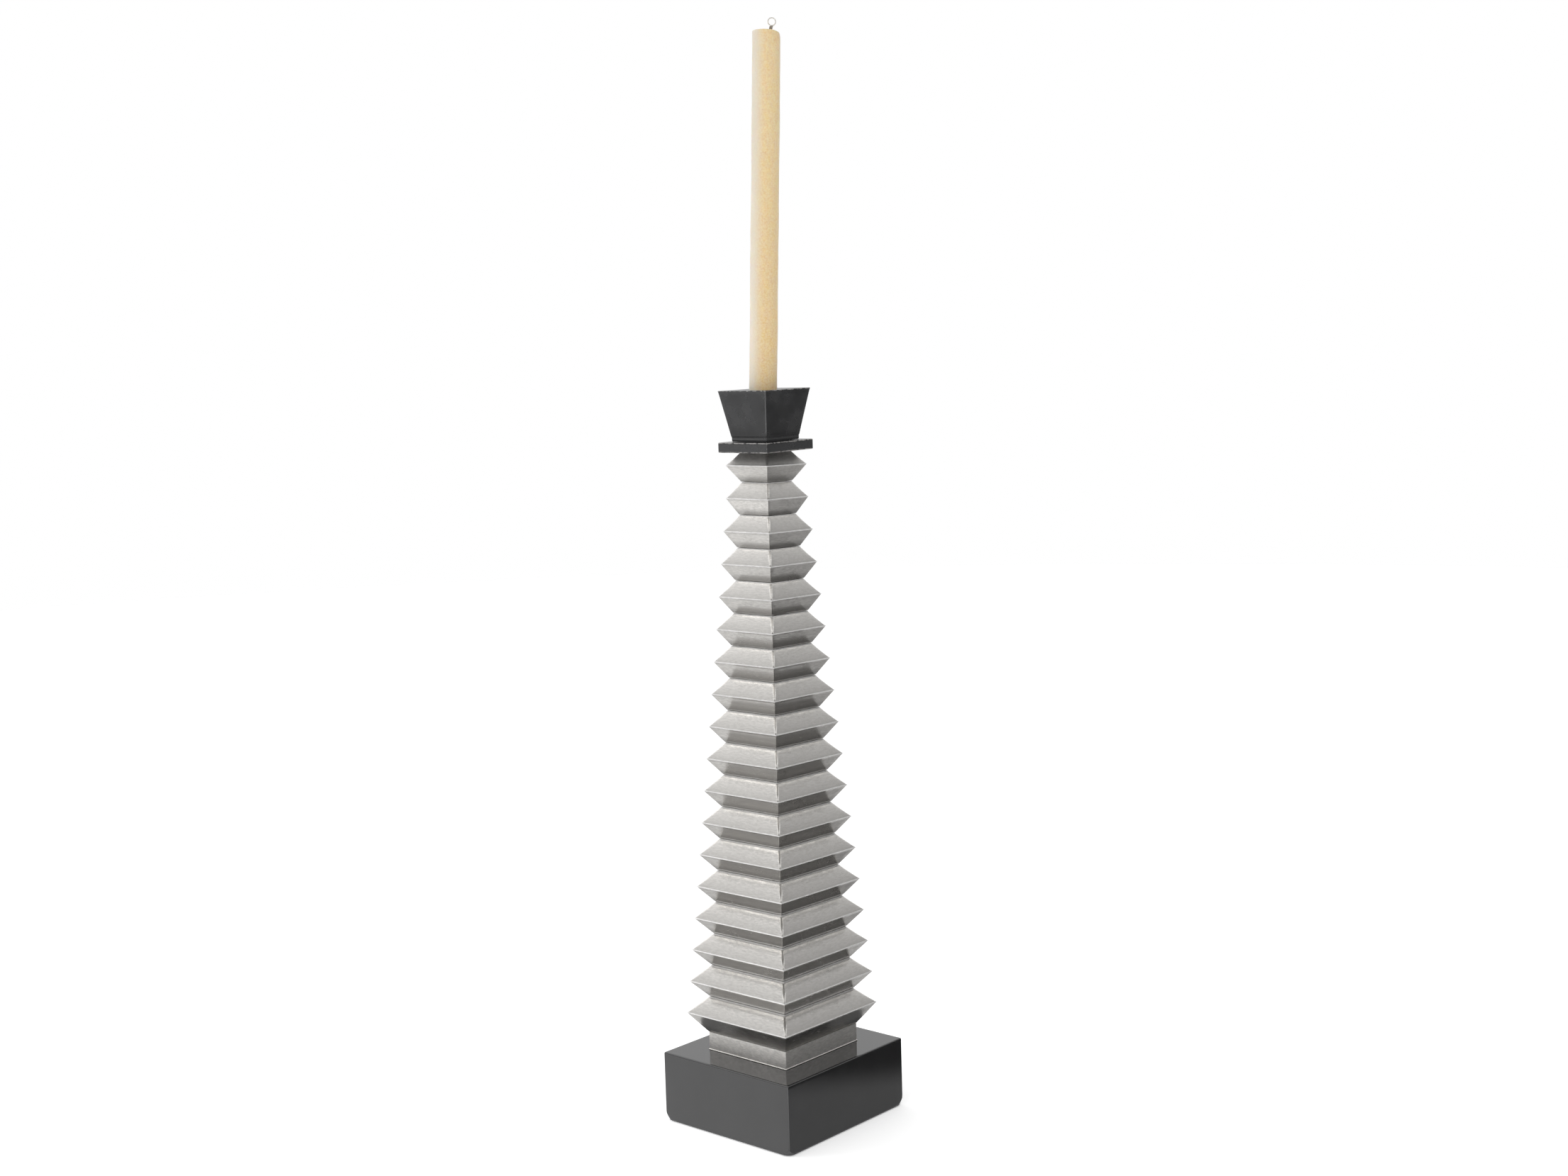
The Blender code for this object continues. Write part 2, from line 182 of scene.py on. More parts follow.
class FinishSettings(PropertyGroup):
    """Colours of the finishes."""

    # Bright Silver is the silver's own colour. Dull Silver is painted shade on the tiers' lower slopes, in the
    # seams and on the upper slopes towards the ridges, and also the darker streaks of the band.
    silver_bright: FloatVectorProperty(name="Bright Silver", description="Rubbed slopes and ridges",
                                       default=(0.95, 0.925, 0.89), size=3, subtype="COLOR")
    silver_dull_and_shade: FloatVectorProperty(name="Dull Silver", description="Undersides and crevices",
                                     default=(0.44, 0.43, 0.415), size=3, subtype="COLOR")
    lacquer: FloatVectorProperty(name="Lacquer", description="Black of the base, plate and cup",
                                 default=(0.0095, 0.0095, 0.0100), size=3, subtype="COLOR")
    worn: FloatVectorProperty(name="Worn Edge", description="Where the lacquer is rubbed thin",
                              default=(0.26, 0.25, 0.24), size=3, subtype="COLOR")
    wax_pale: FloatVectorProperty(name="Pale Wax", description="Top of the candle", default=(0.95, 0.735, 0.39),
                                  size=3, subtype="COLOR")
    wax_deep: FloatVectorProperty(name="Deep Wax", description="Foot of the candle",
                                  default=(0.85, 0.61, 0.265), size=3, subtype="COLOR")
    cotton: FloatVectorProperty(name="Cotton", description="The wick", default=(0.93, 0.91, 0.87), size=3,
                                subtype="COLOR")


SETTINGS = {"studio": StudioSettings, "column": ColumnSettings, "black": BlackSettings, "taper": CandleSettings,
            "finish": FinishSettings}


def settings(name):
    """One group of settings, as the scene holds it."""
    return getattr(bpy.context.scene, f"candlestick_{name}")


# ---------------------------------------------------------------- shader building blocks


class Net:
    """Adds nodes to one tree; an input is a number, a colour or another node's output socket."""

    def __init__(self, tree):
        self.tree = tree

    def link(self, value, node, label):
        """Feed one input of a node from a socket, or set its value."""
        socket = node.inputs[label]
        if isinstance(value, bpy.types.NodeSocket):
            self.tree.links.new(value, socket)
        else:
            socket.default_value = value

    def put(self, kind, inputs=None, **values):
        """One node with its settings and its inputs."""
        node = self.tree.nodes.new(kind)
        for name, value in values.items():
            setattr(node, name, value)
        for label, value in (inputs or {}).items():
            self.link(value, node, label)
        return node

    def math(self, operation, first, second=0.0, clamp=False):
        """The output of a Math node."""
        node = self.put("ShaderNodeMath", {0: first, 1: second}, operation=operation, use_clamp=clamp)
        return node.outputs[0]

    def add(self, first, second, clamp=False):
        """first and second together."""
        return self.math("ADD", first, second, clamp)

    def less(self, first, second):
        """first without second."""
        return self.math("SUBTRACT", first, second)

    def times(self, first, second, clamp=False):
        """first multiplied by second."""
        return self.math("MULTIPLY", first, second, clamp)

    def most(self, first, second):
        """The larger of the two."""
        return self.math("MAXIMUM", first, second)

    def step(self, value, start, end, low=0.0, high=1.0):
        """value eased from low to high between start and end."""
        node = self.put("ShaderNodeMapRange", {"Value": value, "From Min": start, "From Max": end,
                                               "To Min": low, "To Max": high}, interpolation_type="SMOOTHSTEP")
        return node.outputs["Result"]

    def mix(self, share, first, second):
        """A colour on the way from first to second."""
        first, second = ((*tone, 1.0) if isinstance(tone, tuple) else tone for tone in (first, second))
        return self.put("ShaderNodeMix", {0: share, 6: first, 7: second}, data_type="RGBA").outputs[2]

    def mix_value(self, share, first, second):
        """A value on the way from first to second."""
        return self.put("ShaderNodeMix", {0: share, 2: first, 3: second}, data_type="FLOAT").outputs[0]

    def vector_math(self, operation, first, second, output):
        """One output of a Vector Math node."""
        return self.put("ShaderNodeVectorMath", {0: first, 1: second}, operation=operation).outputs[output]

    def split(self, vector):
        """The vector's X, Y and Z."""
        return self.put("ShaderNodeSeparateXYZ", {0: vector}).outputs

    def grain(self, vector, scale, detail=3.0, roughness=0.5):
        """Noise from 0 to 1."""
        return self.put("ShaderNodeTexNoise", {"Vector": vector, "Scale": scale, "Detail": detail,
                                               "Roughness": roughness}).outputs["Fac"]

    def effect(self, name, **inputs):
        """A shared effect; its group is made the first time it is asked for."""
        if name not in bpy.data.node_groups:
            GROUP_MAKERS[name]()
        return self.put("ShaderNodeGroup", inputs, node_tree=bpy.data.node_groups[name]).outputs


class MaterialNet(Net):
    """A new material with its shader and its object coordinates."""

    def __init__(self, name):
        self.material = bpy.data.materials.new(name)
        self.material.use_nodes = True
        super().__init__(self.material.node_tree)
        self.shader = self.tree.nodes["Principled BSDF"]
        self.place = self.put("ShaderNodeTexCoord").outputs["Object"]

    def attribute(self, name):
        """A value that the shape carries at its vertices."""
        return self.put("ShaderNodeAttribute", attribute_name=name).outputs["Fac"]

    def stretched(self, *scale):
        """The object coordinates scaled along X, Y and Z."""
        return self.put("ShaderNodeMapping", {"Vector": self.place, "Scale": scale}).outputs["Vector"]

    def mottle(self, scale, contrast, vector=None):
        """The shared clouds, laid out by the object's own coordinates unless a vector is given."""
        vector = self.place if vector is None else vector
        return self.effect("hand_mottle", Vector=vector, Scale=scale, Contrast=contrast)["Mottle"]

    def stain(self, body, mask, share, colour):
        """Blend a colour into body where mask is high."""
        return self.mix(self.times(mask, share), body, colour)

    def fix(self, values):
        """Set constants on the shader's own sockets."""
        for label, value in values.items():
            self.shader.inputs[label].default_value = value

    def drive(self, colour, roughness=None, metallic=None):
        """Link what is given to the shader's sockets."""
        for label, value in (("Base Color", colour), ("Roughness", roughness), ("Metallic", metallic)):
            if value is not None:
                self.link(value, self.shader, label)

    def bump(self, height, distance, strength):
        """Fine relief from a height."""
        relief = self.put("ShaderNodeBump", {"Height": height, "Distance": distance, "Strength": strength})
        self.link(relief.outputs["Normal"], self.shader, "Normal")


def start_group(name, outputs, **inputs):
    """A node group with an input called Vector, and float inputs and outputs; its net, inputs and output."""
    group = bpy.data.node_groups.new(name, "ShaderNodeTree")
    group.interface.new_socket(name="Vector", in_out="INPUT", socket_type="NodeSocketVector")
    for label, value in inputs.items():
        socket = group.interface.new_socket(name=label, in_out="INPUT", socket_type="NodeSocketFloat")
        socket.default_value = value
    for label in outputs:
        group.interface.new_socket(name=label, in_out="OUTPUT", socket_type="NodeSocketFloat")
    return Net(group), group.nodes.new("NodeGroupInput").outputs, group.nodes.new("NodeGroupOutput")


def make_brushed_group():
    """Fine level streaks, as a polishing wheel leaves along each slope."""
    net, given, result = start_group("brushed_streaks", ("Streak", "Band"), Fineness=1100.0, Drift=240.0)
    drift, fineness = given["Drift"], given["Fineness"]
    scale = net.put("ShaderNodeCombineXYZ", {"X": drift, "Y": drift, "Z": fineness})
    lines = net.vector_math("MULTIPLY", given["Vector"], scale.outputs[0], 0)
    wide = net.vector_math("MULTIPLY", lines, (0.9, 0.9, 0.22), 0)
    net.link(net.grain(lines, 1.0, 4.0, 0.65), result, "Streak")
    net.link(net.grain(wide, 1.0, 2.0), result, "Band")


def make_mottle_group():
    """Soft clouds with a little fine grain, for wax, tarnish and lacquer."""
    net, given, result = start_group("hand_mottle", ("Mottle",), Scale=60.0, Contrast=1.0)
    cloud = net.less(net.grain(given["Vector"], given["Scale"], 4.0, 0.55), 0.5)
    net.link(net.add(net.times(cloud, given["Contrast"]), 0.5, clamp=True), result, "Mottle")


def make_wear_group():
    """Rubbed edges: the Edge attribute broken up by noise."""
    net, given, result = start_group("rubbed_edges", ("Wear",), Edge=0.0, Scale=260.0, Amount=0.5)
    broken = net.grain(given["Vector"], given["Scale"], 5.0, 0.62)
    reach = net.add(net.times(broken, 1.4), given["Edge"])
    over = net.less(reach, net.less(2.1, given["Amount"]))
    net.link(net.times(over, 6.0, clamp=True), result, "Wear")


def make_dust_group():
    """Small pale specks."""
    net, given, result = start_group("fine_dust", ("Dust",), Scale=900.0, Density=0.3)
    specks = net.put("ShaderNodeTexVoronoi", {"Vector": given["Vector"], "Scale": given["Scale"],
                                              "Randomness": 1.0}).outputs["Distance"]
    size = net.times(given["Density"], net.grain(given["Vector"], 34.0, 3.0, 0.6))
    net.link(net.times(net.less(size, specks), 9.0, clamp=True), result, "Dust")


GROUP_MAKERS = {"brushed_streaks": make_brushed_group, "hand_mottle": make_mottle_group,
                "rubbed_edges": make_wear_group, "fine_dust": make_dust_group}


# ---------------------------------------------------------------- finishes


def silver_finish(net, slopes=True, metal=0.98, rough=0.18):
    """Satin silver, brushed level; on the tiers' slopes a painted highlight along each ridge and the top of
    each upper slope, painted shade on the lower slopes that deepens into the seams, and each upper slope
    painted darker towards its ridge.
    """
    colours = settings("finish")
    streaks = net.effect("brushed_streaks", Vector=net.place)
    mottle = net.mottle(70.0, 1.5)
    bright, dull_and_shade = tuple(colours.silver_bright), tuple(colours.silver_dull_and_shade)
    metallic = net.step(mottle, 0.0, 1.0, metal - 0.02, metal + 0.02)
    if slopes:
        across = net.attribute("across")
        # Painted shade: the lower slopes darker than the upper ones, and darker still towards the seam at their
        # foot.
        below = net.most(net.step(across, 0.0, -0.08, 0.0, 0.30), net.step(across, -0.35, -0.95, 0.0, 0.90))
        # Painted light and shade: each upper slope keeps the bright colour at its top and turns halfway to the
        # dull one towards the ridge.
        fall = net.times(net.step(across, 1.0, 0.05, 0.0, 0.50), net.step(across, -0.06, 0.0))
        # Painted highlight: a pale, less metallic line along each ridge and along the top edge of each upper
        # slope.
        ridge = net.step(net.math("ABSOLUTE", across), 0.09, 0.03)
        wear_and_highlight = net.most(ridge, net.step(across, 0.90, 0.985))
        body = net.mix(wear_and_highlight, net.mix(net.most(below, fall), bright, dull_and_shade), (0.98, 0.97, 0.96))
        metallic = net.mix_value(wear_and_highlight, metallic, 0.45)
    else:
        body = net.mix(net.step(streaks["Band"], 0.3, 0.7, 0.0, 0.2), bright, dull_and_shade)
    marks = net.add(net.step(streaks["Streak"], 0.32, 0.68, 0.0, 0.28), net.step(mottle, 0.1, 0.9, 0.0, 0.06))
    roughness = net.add(net.step(streaks["Streak"], 0.3, 0.7, -0.03, 0.07),
                        net.step(mottle, 0.2, 0.8, rough - 0.02, rough + 0.04))
    net.drive(net.mix(marks, body, (0.30, 0.29, 0.27)), roughness, metallic)
    net.bump(net.add(net.times(streaks["Band"], 0.5), net.times(streaks["Streak"], 0.6)), 0.00005, 0.40)


def lacquer_finish(net, wear, dust, rough, depth):
    """Black lacquer: rubbed edges, faint clouding and a little dust."""
    colours = settings("finish")
    mottle = net.mottle(48.0, 1.6)
    wear_and_highlight = net.effect("rubbed_edges", Vector=net.place, Edge=net.attribute("edge"), Scale=300.0,
                        Amount=wear)["Wear"]
    specks = net.effect("fine_dust", Vector=net.place, Scale=850.0, Density=dust)["Dust"]
    black = tuple(c * depth for c in colours.lacquer)
    body = net.mix(wear_and_highlight, net.mix(mottle, black, tuple(c * 1.9 for c in black)), tuple(colours.worn))
    roughness = net.add(net.step(mottle, 0.2, 0.8, rough * 0.8, rough * 1.3),
                        net.times(net.add(wear_and_highlight, specks), 0.18))
    net.drive(net.stain(body, specks, 0.35, (0.32, 0.31, 0.30)), roughness)
    net.fix({"IOR": 2.0})
    net.bump(net.add(net.grain(net.place, 220.0, 2.0), net.times(mottle, 0.6)), 0.00006, 0.22)


def zinc_finish(net):
    """Plain zinc-coated steel with the marks of turning."""
    streaks = net.effect("brushed_streaks", Vector=net.place, Fineness=2200.0, Drift=60.0)["Streak"]
    body = net.mix(net.mottle(420.0, 2.0), (0.46, 0.46, 0.47), (0.66, 0.66, 0.67))
    net.drive(body, net.add(net.times(streaks, 0.25), 0.20))
    net.fix({"Metallic": 1.0})
    net.bump(streaks, 0.00003, 0.5)


def iron_finish(net):
    """A rough sand casting with rust starting in its pits."""
    pits, patches = net.mottle(620.0, 2.2), net.mottle(70.0, 2.4)
    body = net.mix(pits, (0.070, 0.066, 0.062), (0.17, 0.16, 0.15))
    body = net.stain(body, patches, 0.45, (0.20, 0.10, 0.055))
    net.drive(body, net.step(patches, 0.0, 1.0, 0.62, 0.92), net.step(patches, 0.2, 0.9, 0.7, 0.2))
    net.bump(pits, 0.00030, 0.8)


def sheet_finish(net):
    """Matt black sheet steel with fine rolling lines and scuffs."""
    rolled = net.grain(net.stretched(18.0, 900.0, 900.0), 1.0, 3.0, 0.6)
    scuffs = net.mottle(130.0, 2.2)
    body = net.mix(scuffs, (0.030, 0.030, 0.031), (0.085, 0.085, 0.086))
    net.drive(net.stain(body, rolled, 0.30, (0.12, 0.12, 0.12)), net.step(scuffs, 0.1, 0.9, 0.42, 0.68))
    net.bump(rolled, 0.00004, 0.5)


def felt_finish(net):
    """Black wool felt: matted fibres with a soft sheen."""
    fibres = net.grain(net.stretched(1.0, 1.3, 1.0), 1500.0, 6.0, 0.75)
    body = net.mix(fibres, (0.012, 0.012, 0.013), (0.055, 0.055, 0.058))
    body = net.stain(body, net.mottle(300.0, 2.0), 0.35, (0.080, 0.078, 0.078))
    net.drive(body, net.step(fibres, 0.0, 1.0, 0.85, 1.0))
    net.fix({"Sheen Weight": 0.35, "Sheen Roughness": 0.6})
    net.bump(fibres, 0.00035, 0.9)


def wax_finish(net):
    """Dipped beeswax: mottled, deeper towards the foot, with painted shade just above the cup and painted light
    making one side paler, faintly translucent.
    """
    colours = settings("finish")
    low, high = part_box("candle")
    cup_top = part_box("candle_cup")[1].z
    height = net.split(net.place)["Z"]
    clouds = net.mottle(120.0, 3.0, net.stretched(1.0, 1.0, 0.45))
    patches = net.mottle(330.0, 3.2, net.stretched(1.0, 1.0, 0.6))
    specks = net.mottle(760.0, 2.6)
    # Painted shade: the wax turns a darker brown from a little above the cup's rim down into the cup.
    foot = net.step(height, cup_top + 0.012, cup_top - 0.004)
    body = net.mix(net.step(height, cup_top, high.z), tuple(colours.wax_deep), tuple(colours.wax_pale))
    for mask, share, colour in ((clouds, 0.62, (0.86, 0.60, 0.20)), (patches, 0.50, (0.80, 0.55, 0.36)),
                                (specks, 0.55, (1.0, 0.90, 0.66)), (foot, 0.16, (0.36, 0.25, 0.12))):
        body = net.stain(body, mask, share, colour)
    # Painted light: the wax paler towards its lit side, with a fainter pale edge on the far side.
    axis = Vector(frame["joints"][0]["axis"])
    pale_way = Vector((-0.72, -0.69, (0.72 * axis.x + 0.69 * axis.y) / axis.z))
    side = net.less(net.vector_math("DOT_PRODUCT", net.place, pale_way, "Value"), pale_way.z * low.z)
    painted_side_light = net.add(net.step(side, 0.001, 0.0105, 0.0, 0.72), net.step(side, -0.008, -0.011, 0.0, 0.35))
    net.drive(net.mix(painted_side_light, body, (0.68, 0.655, 0.595)), net.step(clouds, 0.1, 0.9, 0.34, 0.52))
    net.fix({"Subsurface Weight": 0.40, "Subsurface Radius": (1.0, 0.55, 0.25), "Subsurface Scale": 0.0022,
             "Specular IOR Level": 0.45, "Sheen Weight": 0.35, "Sheen Roughness": 0.45})
    net.bump(net.add(clouds, net.times(specks, 0.25)), 0.00025, 0.45)


def cotton_finish(net, soaked=0.0):
    """Braided cotton, stiff with wax; soaked is how dark the wax has made it."""
    fresh = tuple(settings("finish").cotton)
    fibres = net.grain(net.stretched(1.0, 1.0, 0.4), 5200.0, 4.0, 0.7)
    stains = net.mottle(900.0, 2.0)
    body = net.stain(fresh, fibres, 0.6, tuple(c * 0.80 for c in fresh))
    soak = net.step(stains, 0.0, 1.0, soaked * 0.7, min(1.0, soaked + 0.25))
    net.drive(net.mix(soak, body, (0.17, 0.135, 0.10)), net.step(stains, 0.0, 1.0, 0.65, 0.92))
    net.bump(fibres, 0.00012, 0.8)


FINISHES = {}


def finish(name, maker, *values):
    """The material called name, made once."""
    if name not in FINISHES:
        net = MaterialNet(name)
        maker(net, *values)
        FINISHES[name] = net.material
    return FINISHES[name]


# ---------------------------------------------------------------- shape building blocks


def levels(node):
    """The heights at which a square CAD piece has its corners, lowest first."""
    return sorted({round(vert.co.z, 5) for vert in NODES[node].data.vertices})


def reach_at(node, z, inner=False):
    """Half the width of a square CAD piece at a height, outside or inside."""
    found = [abs(vert.co.x) for vert in NODES[node].data.vertices if abs(vert.co.z - z) < 2e-5]
    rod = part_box("tie_rod")[1].x + 0.001
    return min(x for x in found if x > rod) if inner else max(found)


def place_ring(ring, section, across, edge):
    """Set a ring of vertices round a square with rounded corners."""
    quarter = len(ring) // 4
    half = section.side / 2
    flat = half - section.corner
    for index, vert in enumerate(ring):
        quarter_turns, step = divmod(index, quarter)
        if step <= CORNER_STEPS:
            angle = math.pi / 2 * step / CORNER_STEPS
            x, y = flat + section.corner * math.cos(angle), flat + section.corner * math.sin(angle)
            bend = 1 - abs(2 * step / CORNER_STEPS - 1)
        else:
            share = (step - CORNER_STEPS) / (quarter - CORNER_STEPS)
            x, y = flat * (1 - 2 * share), half
            bend = 0.0
        for _ in range(quarter_turns):
            x, y = -y, x
        vert.co = (x, y, section.z)
        vert[across] = section.across
        vert[edge] = max(section.edge, bend)


def weld(shape):
    """Join the vertices that meet and turn the faces outwards."""
    bmesh.ops.remove_doubles(shape, verts=shape.verts, dist=MERGE)
    bmesh.ops.recalc_face_normals(shape, faces=shape.faces)
    return shape


def loft_rings(sections):
    """A closed ring-shaped solid: each section is extruded from the last, and the last meets the first."""
    shape = bmesh.new()
    across = shape.verts.layers.float.new("across")
    edge = shape.verts.layers.float.new("edge")
    bmesh.ops.create_circle(shape, cap_ends=False, segments=4 * (CORNER_STEPS + SIDE_STEPS), radius=1)
    ring = shape.verts[:]
    rim = shape.edges[:]
    place_ring(ring, sections[0], across, edge)
    for section in sections[1:] + sections[:1]:
        made = bmesh.ops.extrude_edge_only(shape, edges=rim)["geom"]
        fresh = {item for item in made if isinstance(item, bmesh.types.BMVert)}
        ring = [next(e.other_vert(vert) for e in vert.link_edges if e.other_vert(vert) in fresh)
                for vert in ring]
        rim = [item for item in made if isinstance(item, bmesh.types.BMEdge)
               and item.verts[0] in fresh and item.verts[1] in fresh]
        place_ring(ring, section, across, edge)
    return weld(shape)


def unsettle(shape, amount, span, seed):
    """Move the surface in and out a little, as hand work leaves it; the same way each run."""
    noise.seed_set(SURFACE_SEED)
    for vert in shape.verts:
        push = noise.noise_vector(vert.co / span + Vector((seed * 7.3, seed * 3.1, seed * 5.7)))
        vert.co.x += push.x * amount
        vert.co.y += push.y * amount


def settle(shape, low_z, high_z, tilt, lift=0.0, spread=0.0):
    """Tilt a square piece towards +Y, and raise and widen its top; its bored middle stays as it is."""
    for vert in shape.verts:
        reach = max(abs(vert.co.x), abs(vert.co.y))
        share = min(1.0, max(0.0, (reach - TRUE_MIDDLE) / TRUE_EASE))
        rise = min(1.0, max(0.0, (vert.co.z - low_z) / (high_z - low_z)))
        vert.co.z += share * (tilt * vert.co.y + lift * rise)
        vert.co.x *= 1 + share * spread * rise
        vert.co.y *= 1 + share * spread * rise


def link_mesh(name, shape, material):
    """Turn a bmesh into an object in the scene."""
    mesh = bpy.data.meshes.new(name)
    shape.to_mesh(mesh)
    shape.free()
    mesh.materials.append(material)
    thing = bpy.data.objects.new(name, mesh)
    bpy.context.scene.collection.objects.link(thing)
    return thing


def add_piece(name, shape, material, body, slot, *stands_for):
    """Turn a bmesh into a piece that rides on a body and stands for CAD nodes."""
    piece = link_mesh(name, shape, material)
    piece.data.shade_smooth()
    piece.data.set_sharp_from_angle(angle=SMOOTH_ANGLE)
    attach(piece, body)
    if stands_for:
        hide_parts(*stands_for)


def repaint(node, material):
    """Give a CAD node, whose shape is right, a better material."""
    piece = NODES[node]
    piece.data.materials.clear()
    piece.data.materials.append(material)


def lerp(first, second, share):
    """The value a share of the way from first to second."""
    return first + (second - first) * share


def rounded_edge(start, corner, end, steps, radius, **marks):
    """Sections on a soft curve from start past corner to end, each a (side, z) pair."""
    made = []
    for step in range(steps + 1):
        t = step / steps
        side, z = ((1 - t) ** 2 * a + 2 * t * (1 - t) * b + t * t * c for a, b, c in zip(start, corner, end))
        made.append(Section(side, radius, z, **marks))
    return made


def foot_edge(side, z, soft, steps, radius, **marks):
    """A soft lower edge, from the underside round to the side."""
    return rounded_edge((side - 2 * soft, z), (side, z), (side, z + soft), steps, radius, **marks)


def top_edge(side, z, soft, steps, radius, **marks):
    """A soft upper edge, from the side round to the top."""
    return rounded_edge((side, z - soft), (side, z), (side - 2 * soft, z), steps, radius, **marks)


def rod_bore():
    """Makes round sections that clear the rod, at a height."""
    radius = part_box("tie_rod")[1].x + CLEARANCE
    return lambda z: Section(2 * radius, radius, z)


# ---------------------------------------------------------------- pieces


def slope(start, end, steps, corners, marks, bulge=0.0):
    """Sections up one straight slope; corners and marks are (first, middle, last) and (first, last)."""
    made = []
    for step in range(steps + 1):
        t = step / steps
        swell = math.sin(math.pi * t)
        corner = lerp(corners[0], corners[2], t) + (corners[1] - (corners[0] + corners[2]) / 2) * swell
        made.append(Section(lerp(start[0], end[0], t) + 2 * bulge * swell, corner,
                            lerp(start[1], end[1], t) + bulge * swell, across=lerp(*marks, t)))
    return made


def tier_sections(node):
    """The outline of one tier, from its rod hole out over both slopes and back inside."""
    look = settings("column")
    spigot_z, bottom, floor_z, ridge_z, top = levels(node)
    lower, ridge, upper = (2 * reach_at(node, z) for z in (bottom, ridge_z, top))
    bore = rod_bore()
    inner = look.crisp_corner
    seam = look.seam
    land = look.ridge_land / 2
    soft = land + look.ridge_rounding
    low_share = soft / (ridge_z - bottom)
    high_share = soft / (top - ridge_z)
    low_foot = (lower + 2 * seam, bottom + seam)
    low_end = (lerp(ridge, lower, low_share), ridge_z - soft)
    high_start = (lerp(ridge, upper, high_share), ridge_z + soft)
    high_end = (upper + 2 * seam, top - seam)
    hip = look.hip_rounding
    spigot = 2 * reach_at(node, spigot_z)
    sections = [bore(spigot_z), Section(spigot, inner, spigot_z), Section(spigot, inner, bottom),
                Section(lower - 2 * seam, inner, bottom, -1.0)]
    sections += slope(low_foot, low_end, FACET_STEPS, (inner, inner, inner * 1.6), (-1.0, -0.07))
    sections += [Section(ridge, inner * 2, ridge_z + rise, 0.0) for rise in (-land, 0, land)]
    sections += slope(high_start, high_end, FACET_STEPS, (hip * 0.55, hip, hip * 0.6), (0.07, 1.0),
                      look.cushion)
    sections += [Section(upper - 2 * seam, hip * 0.55, top, 1.0),
                 Section(2 * reach_at(node, top, inner=True), inner, top),
                 Section(2 * reach_at(node, ridge_z, inner=True), inner, ridge_z),
                 Section(2 * reach_at(node, floor_z), inner, floor_z), bore(floor_z)]
    return sections


def straight(start, end, steps, corner):
    """Sections up a plain side with one corner radius."""
    return slope(start, end, steps, (corner,) * 3, (0, 0))


def make_tiers():
    """The hollow silver tiers; the highest one is a little duller."""
    look = settings("column")
    material = finish("satin_silver", silver_finish)
    dulled = finish("clouded_silver", silver_finish, True, 0.95, 0.36)
    for index, node in enumerate(TIER_NAMES):
        shape = loft_rings(tier_sections(node))
        unsettle(shape, look.unevenness, 0.016, index + 1)
        add_piece(f"{node}_shell", shape, material if index else dulled, "stand", "silver", node)


def make_band():
    """The straight silver band between the base and the last tier."""
    look = settings("column")
    node = "foot_collar"
    bottom, floor_z, top = levels(node)
    side = 2 * reach_at(node, bottom)
    mouth = 2 * reach_at(node, top, inner=True)
    bore = rod_bore()
    soft = look.ridge_rounding * 0.7
    corner = look.crisp_corner * 2
    flare = look.foot_flare
    sections = [bore(bottom), Section(side, corner, bottom), Section(side + 2 * flare, corner, bottom)]
    sections += rounded_edge((side + 2 * flare, bottom + flare * 0.3), (side + flare, bottom + flare * 1.3),
                             (side, bottom + flare * 1.5), 3, corner, edge=1.0)
    sections += slope((side, bottom + flare * 2.2), (side, top - soft), FACET_STEPS, (corner,) * 3,
                      (0.3, 0.9))[:-1]
    sections += top_edge(side, top, soft, 3, corner, edge=1.0)
    sections += [Section(mouth, corner, top), Section(mouth, corner, floor_z), bore(floor_z)]
    shape = loft_rings(sections)
    unsettle(shape, look.unevenness, 0.02, 31)
    add_piece("foot_band", shape, finish("band_silver", silver_finish, False, 0.86, 0.42), "stand", "silver",
              node)


def make_base():
    """The hollow block: top, sides, the rebate for the cover, the cavity and its four bosses."""
    look = settings("black")
    low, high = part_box("base_block")
    cover_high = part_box("base_cover")[1]
    ballast_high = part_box("ballast")[1]
    soft = look.base_rounding
    side, wall, boss, boss_rounding = 2 * high.x, 0.004, 0.014, 0.0015
    roof = ballast_high.z + CLEARANCE
    rebate = 2 * cover_high.x + 2 * CLEARANCE
    cavity = side - 2 * wall
    rebate_z = cover_high.z + CLEARANCE
    bore = rod_bore()
    corner = soft * 1.1
    sections = [bore(roof), Section(cavity, 0.002, roof), Section(cavity, 0.002, rebate_z),
                Section(rebate, 0.001, rebate_z), Section(rebate, 0.001, low.z)]
    worn = look.worn_corner
    sections += foot_edge(side, low.z, soft, 4, worn, edge=0.6)
    sections += [Section(side, corner + (worn - corner) * (1 - rise) ** 1.5, low.z + soft + worn * 0.85 * rise)
                 for rise in (0.15, 0.3, 0.5, 0.7, 0.85)]
    sections += straight((side, low.z + soft + worn), (side, high.z - soft * 4), 6, corner)
    sections += [Section(side, corner, high.z - soft * 2.5)]
    sections += top_edge(side, high.z, soft, 4, corner, edge=1.0)
    sections += [Section(side - soft * inset, corner, high.z) for inset in (5, 12)] + [bore(high.z)]
    shape = loft_rings(sections)
    unsettle(shape, UNEVEN_LACQUER, 0.030, 41)
    post_height = roof - rebate_z
    offset = cavity / 2 - boss / 2
    for sx, sy in ((1, 1), (-1, 1), (-1, -1), (1, -1)):
        place = Matrix.Translation((sx * offset, sy * offset, rebate_z + post_height / 2))
        size = Matrix.Diagonal((boss, boss, post_height, 1))
        post = bmesh.ops.create_cube(shape, size=1.0, matrix=place @ size)
        upright = {edge for vert in post["verts"] for edge in vert.link_edges
                   if abs(edge.verts[0].co.z - edge.verts[1].co.z) > boss}
        bmesh.ops.bevel(shape, geom=list(upright), offset=boss_rounding, segments=3, profile=0.5,
                        affect="EDGES", material=-1)
    material = finish("base_lacquer", lacquer_finish, 0.13, 0.22, 0.10, 0.8)
    add_piece("base_casting", shape, material, "stand", "black_gloss", "base_block")


